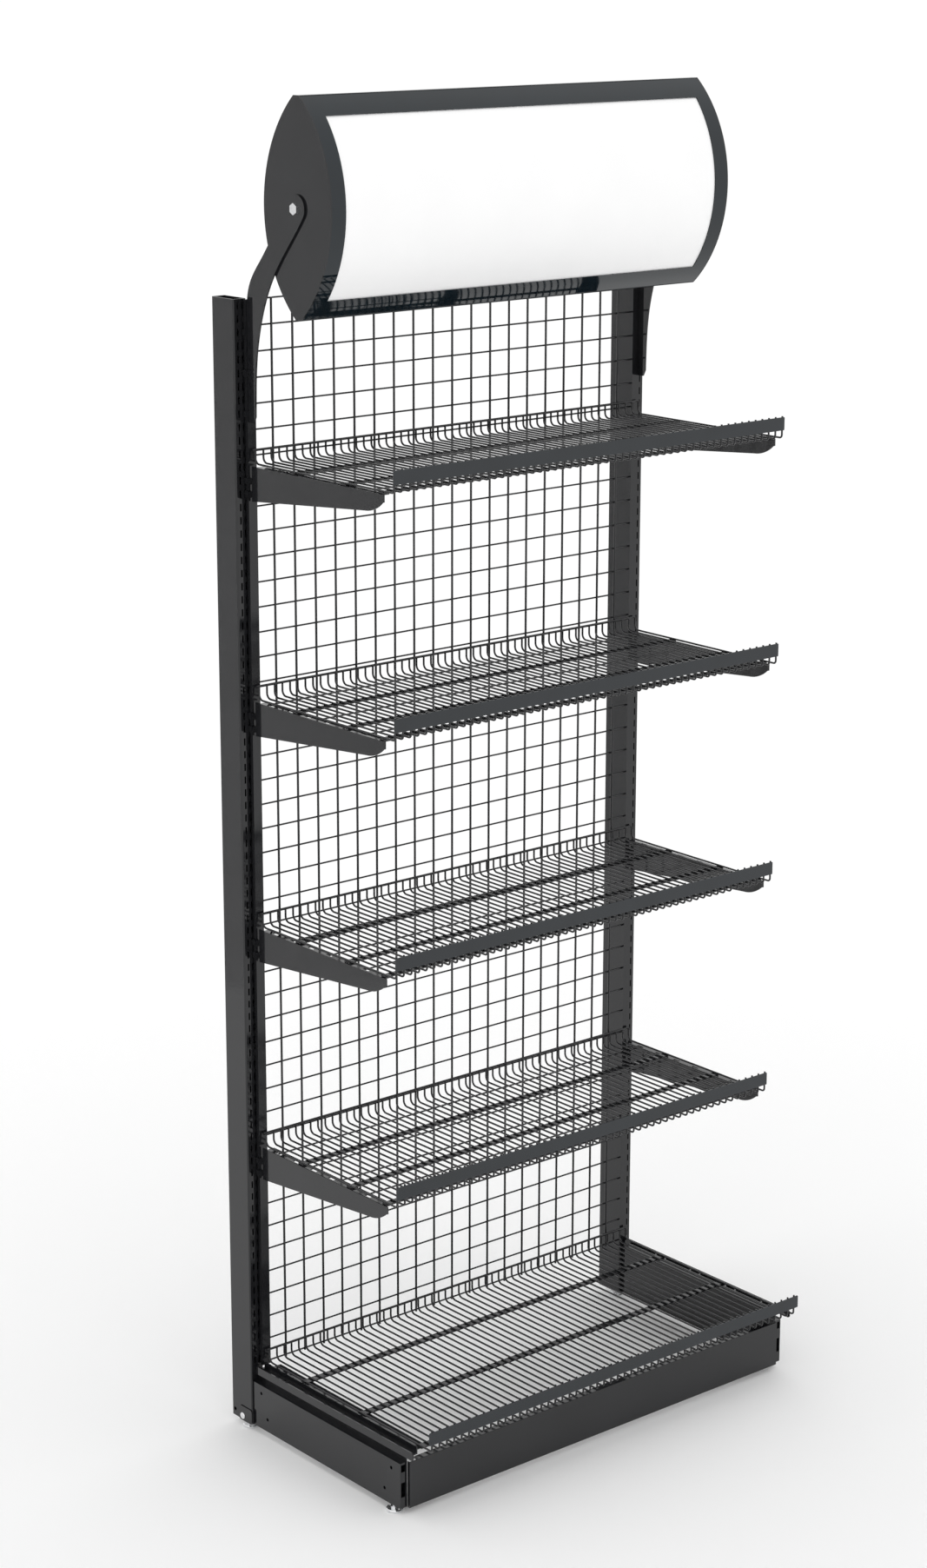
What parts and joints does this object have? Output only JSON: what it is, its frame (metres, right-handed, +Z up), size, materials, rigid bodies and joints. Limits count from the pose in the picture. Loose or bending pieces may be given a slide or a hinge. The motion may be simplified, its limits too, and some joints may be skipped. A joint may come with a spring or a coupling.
{
  "type": "gondola shelving unit",
  "caption": "Single-sided wire gondola bay with slotted uprights, mesh back, lift-off wire decks on hooked brackets, legged base with kick plate and a tilting sign canopy.",
  "frame": {"origin": "on the floor under the middle of the whole unit", "axes": "+Z up, -Y towards the shopper, X along the bay"},
  "size_m": [1.04, 0.601, 2.6365],
  "materials": {
    "frame_paint": "dark grey powder coat, satin",
    "mesh_paint": "dark grey powder coat on welded wire",
    "bracket_paint": "dark grey powder coat, satin",
    "wire_paint": "dark grey powder coat on wire",
    "strip_paint": "dark blue-grey powder coat",
    "sign_paint": "dark blue-grey powder coat, satin",
    "sign_panel": "opaque white sheet",
    "zinc": "bright zinc plate"
  },
  "bodies": {
    "frame": {"upright_left": "frame_paint", "upright_right": "frame_paint", "mesh_columns": "mesh_paint", "mesh_rows": "mesh_paint", "mesh_bar_left": "mesh_paint", "mesh_bar_right": "mesh_paint", "leg_left": "frame_paint", "leg_right": "frame_paint", "base_rail_left": "frame_paint", "base_rail_right": "frame_paint", "rail_lip_left": "frame_paint", "rail_lip_right": "frame_paint", "foot_insert_left": "zinc", "foot_insert_right": "zinc", "side_plate_left": "frame_paint", "side_plate_right": "frame_paint", "foot_screws": "zinc", "arm_left": "frame_paint", "arm_right": "frame_paint", "pivot_bolts": "zinc", "bracket_left_1": "bracket_paint", "bracket_right_1": "bracket_paint", "bracket_left_2": "bracket_paint", "bracket_right_2": "bracket_paint", "bracket_left_3": "bracket_paint", "bracket_right_3": "bracket_paint", "bracket_left_4": "bracket_paint", "bracket_right_4": "bracket_paint"},
    "sign": {"sign_end_left": "sign_paint", "sign_end_right": "sign_paint", "sign_frame_front": "sign_paint", "sign_frame_rear": "sign_paint", "sign_panel_front": "sign_panel", "sign_panel_rear": "sign_panel", "sign_rail_top": "sign_paint", "sign_rail_bottom": "sign_paint"},
    "kick_plate": {"kick_plate": "frame_paint"},
    "deck_1": {"deck_floor_1": "wire_paint", "deck_back_1": "wire_paint", "ticket_strip_1": "strip_paint"},
    "deck_2": {"deck_floor_2": "wire_paint", "deck_back_2": "wire_paint", "ticket_strip_2": "strip_paint"},
    "deck_3": {"deck_floor_3": "wire_paint", "deck_back_3": "wire_paint", "ticket_strip_3": "strip_paint"},
    "deck_4": {"deck_floor_4": "wire_paint", "deck_back_4": "wire_paint", "ticket_strip_4": "strip_paint"},
    "deck_base": {"deck_floor_base": "wire_paint", "deck_back_base": "wire_paint", "ticket_strip_base": "strip_paint"},
    "foot_rear_left": {"foot_rear_left": "zinc"},
    "foot_rear_right": {"foot_rear_right": "zinc"},
    "foot_front_left": {"foot_front_left": "zinc"},
    "foot_front_right": {"foot_front_right": "zinc"}
  },
  "joints": [
    {"name": "deck_1_lift", "type": "slide", "parent": "frame", "child": "deck_1", "axis": [0, 0, 1], "range_m": [0, 0.05]},
    {"name": "deck_2_lift", "type": "slide", "parent": "frame", "child": "deck_2", "axis": [0, 0, 1], "range_m": [0, 0.05]},
    {"name": "deck_3_lift", "type": "slide", "parent": "frame", "child": "deck_3", "axis": [0, 0, 1], "range_m": [0, 0.05]},
    {"name": "deck_4_lift", "type": "slide", "parent": "frame", "child": "deck_4", "axis": [0, 0, 1], "range_m": [0, 0.05]},
    {"name": "deck_base_lift", "type": "slide", "parent": "frame", "child": "deck_base", "axis": [0, 0, 1], "range_m": [0, 0.05]},
    {"name": "kick_plate_pull", "type": "slide", "parent": "frame", "child": "kick_plate", "axis": [0, -1, 0], "range_m": [0, 0.08]},
    {"name": "sign_tilt", "type": "hinge", "parent": "frame", "child": "sign", "pos_m": [0, 0.0715, 2.438], "axis": [1, 0, 0], "range_deg": [-20, 20]},
    {"name": "foot_rear_left_height", "type": "slide", "parent": "frame", "child": "foot_rear_left", "axis": [0, 0, -1], "range_m": [0, 0.01]},
    {"name": "foot_rear_right_height", "type": "slide", "parent": "frame", "child": "foot_rear_right", "axis": [0, 0, -1], "range_m": [0, 0.01]},
    {"name": "foot_front_left_height", "type": "slide", "parent": "frame", "child": "foot_front_left", "axis": [0, 0, -1], "range_m": [0, 0.01]},
    {"name": "foot_front_right_height", "type": "slide", "parent": "frame", "child": "foot_front_right", "axis": [0, 0, -1], "range_m": [0, 0.01]}
  ]
}
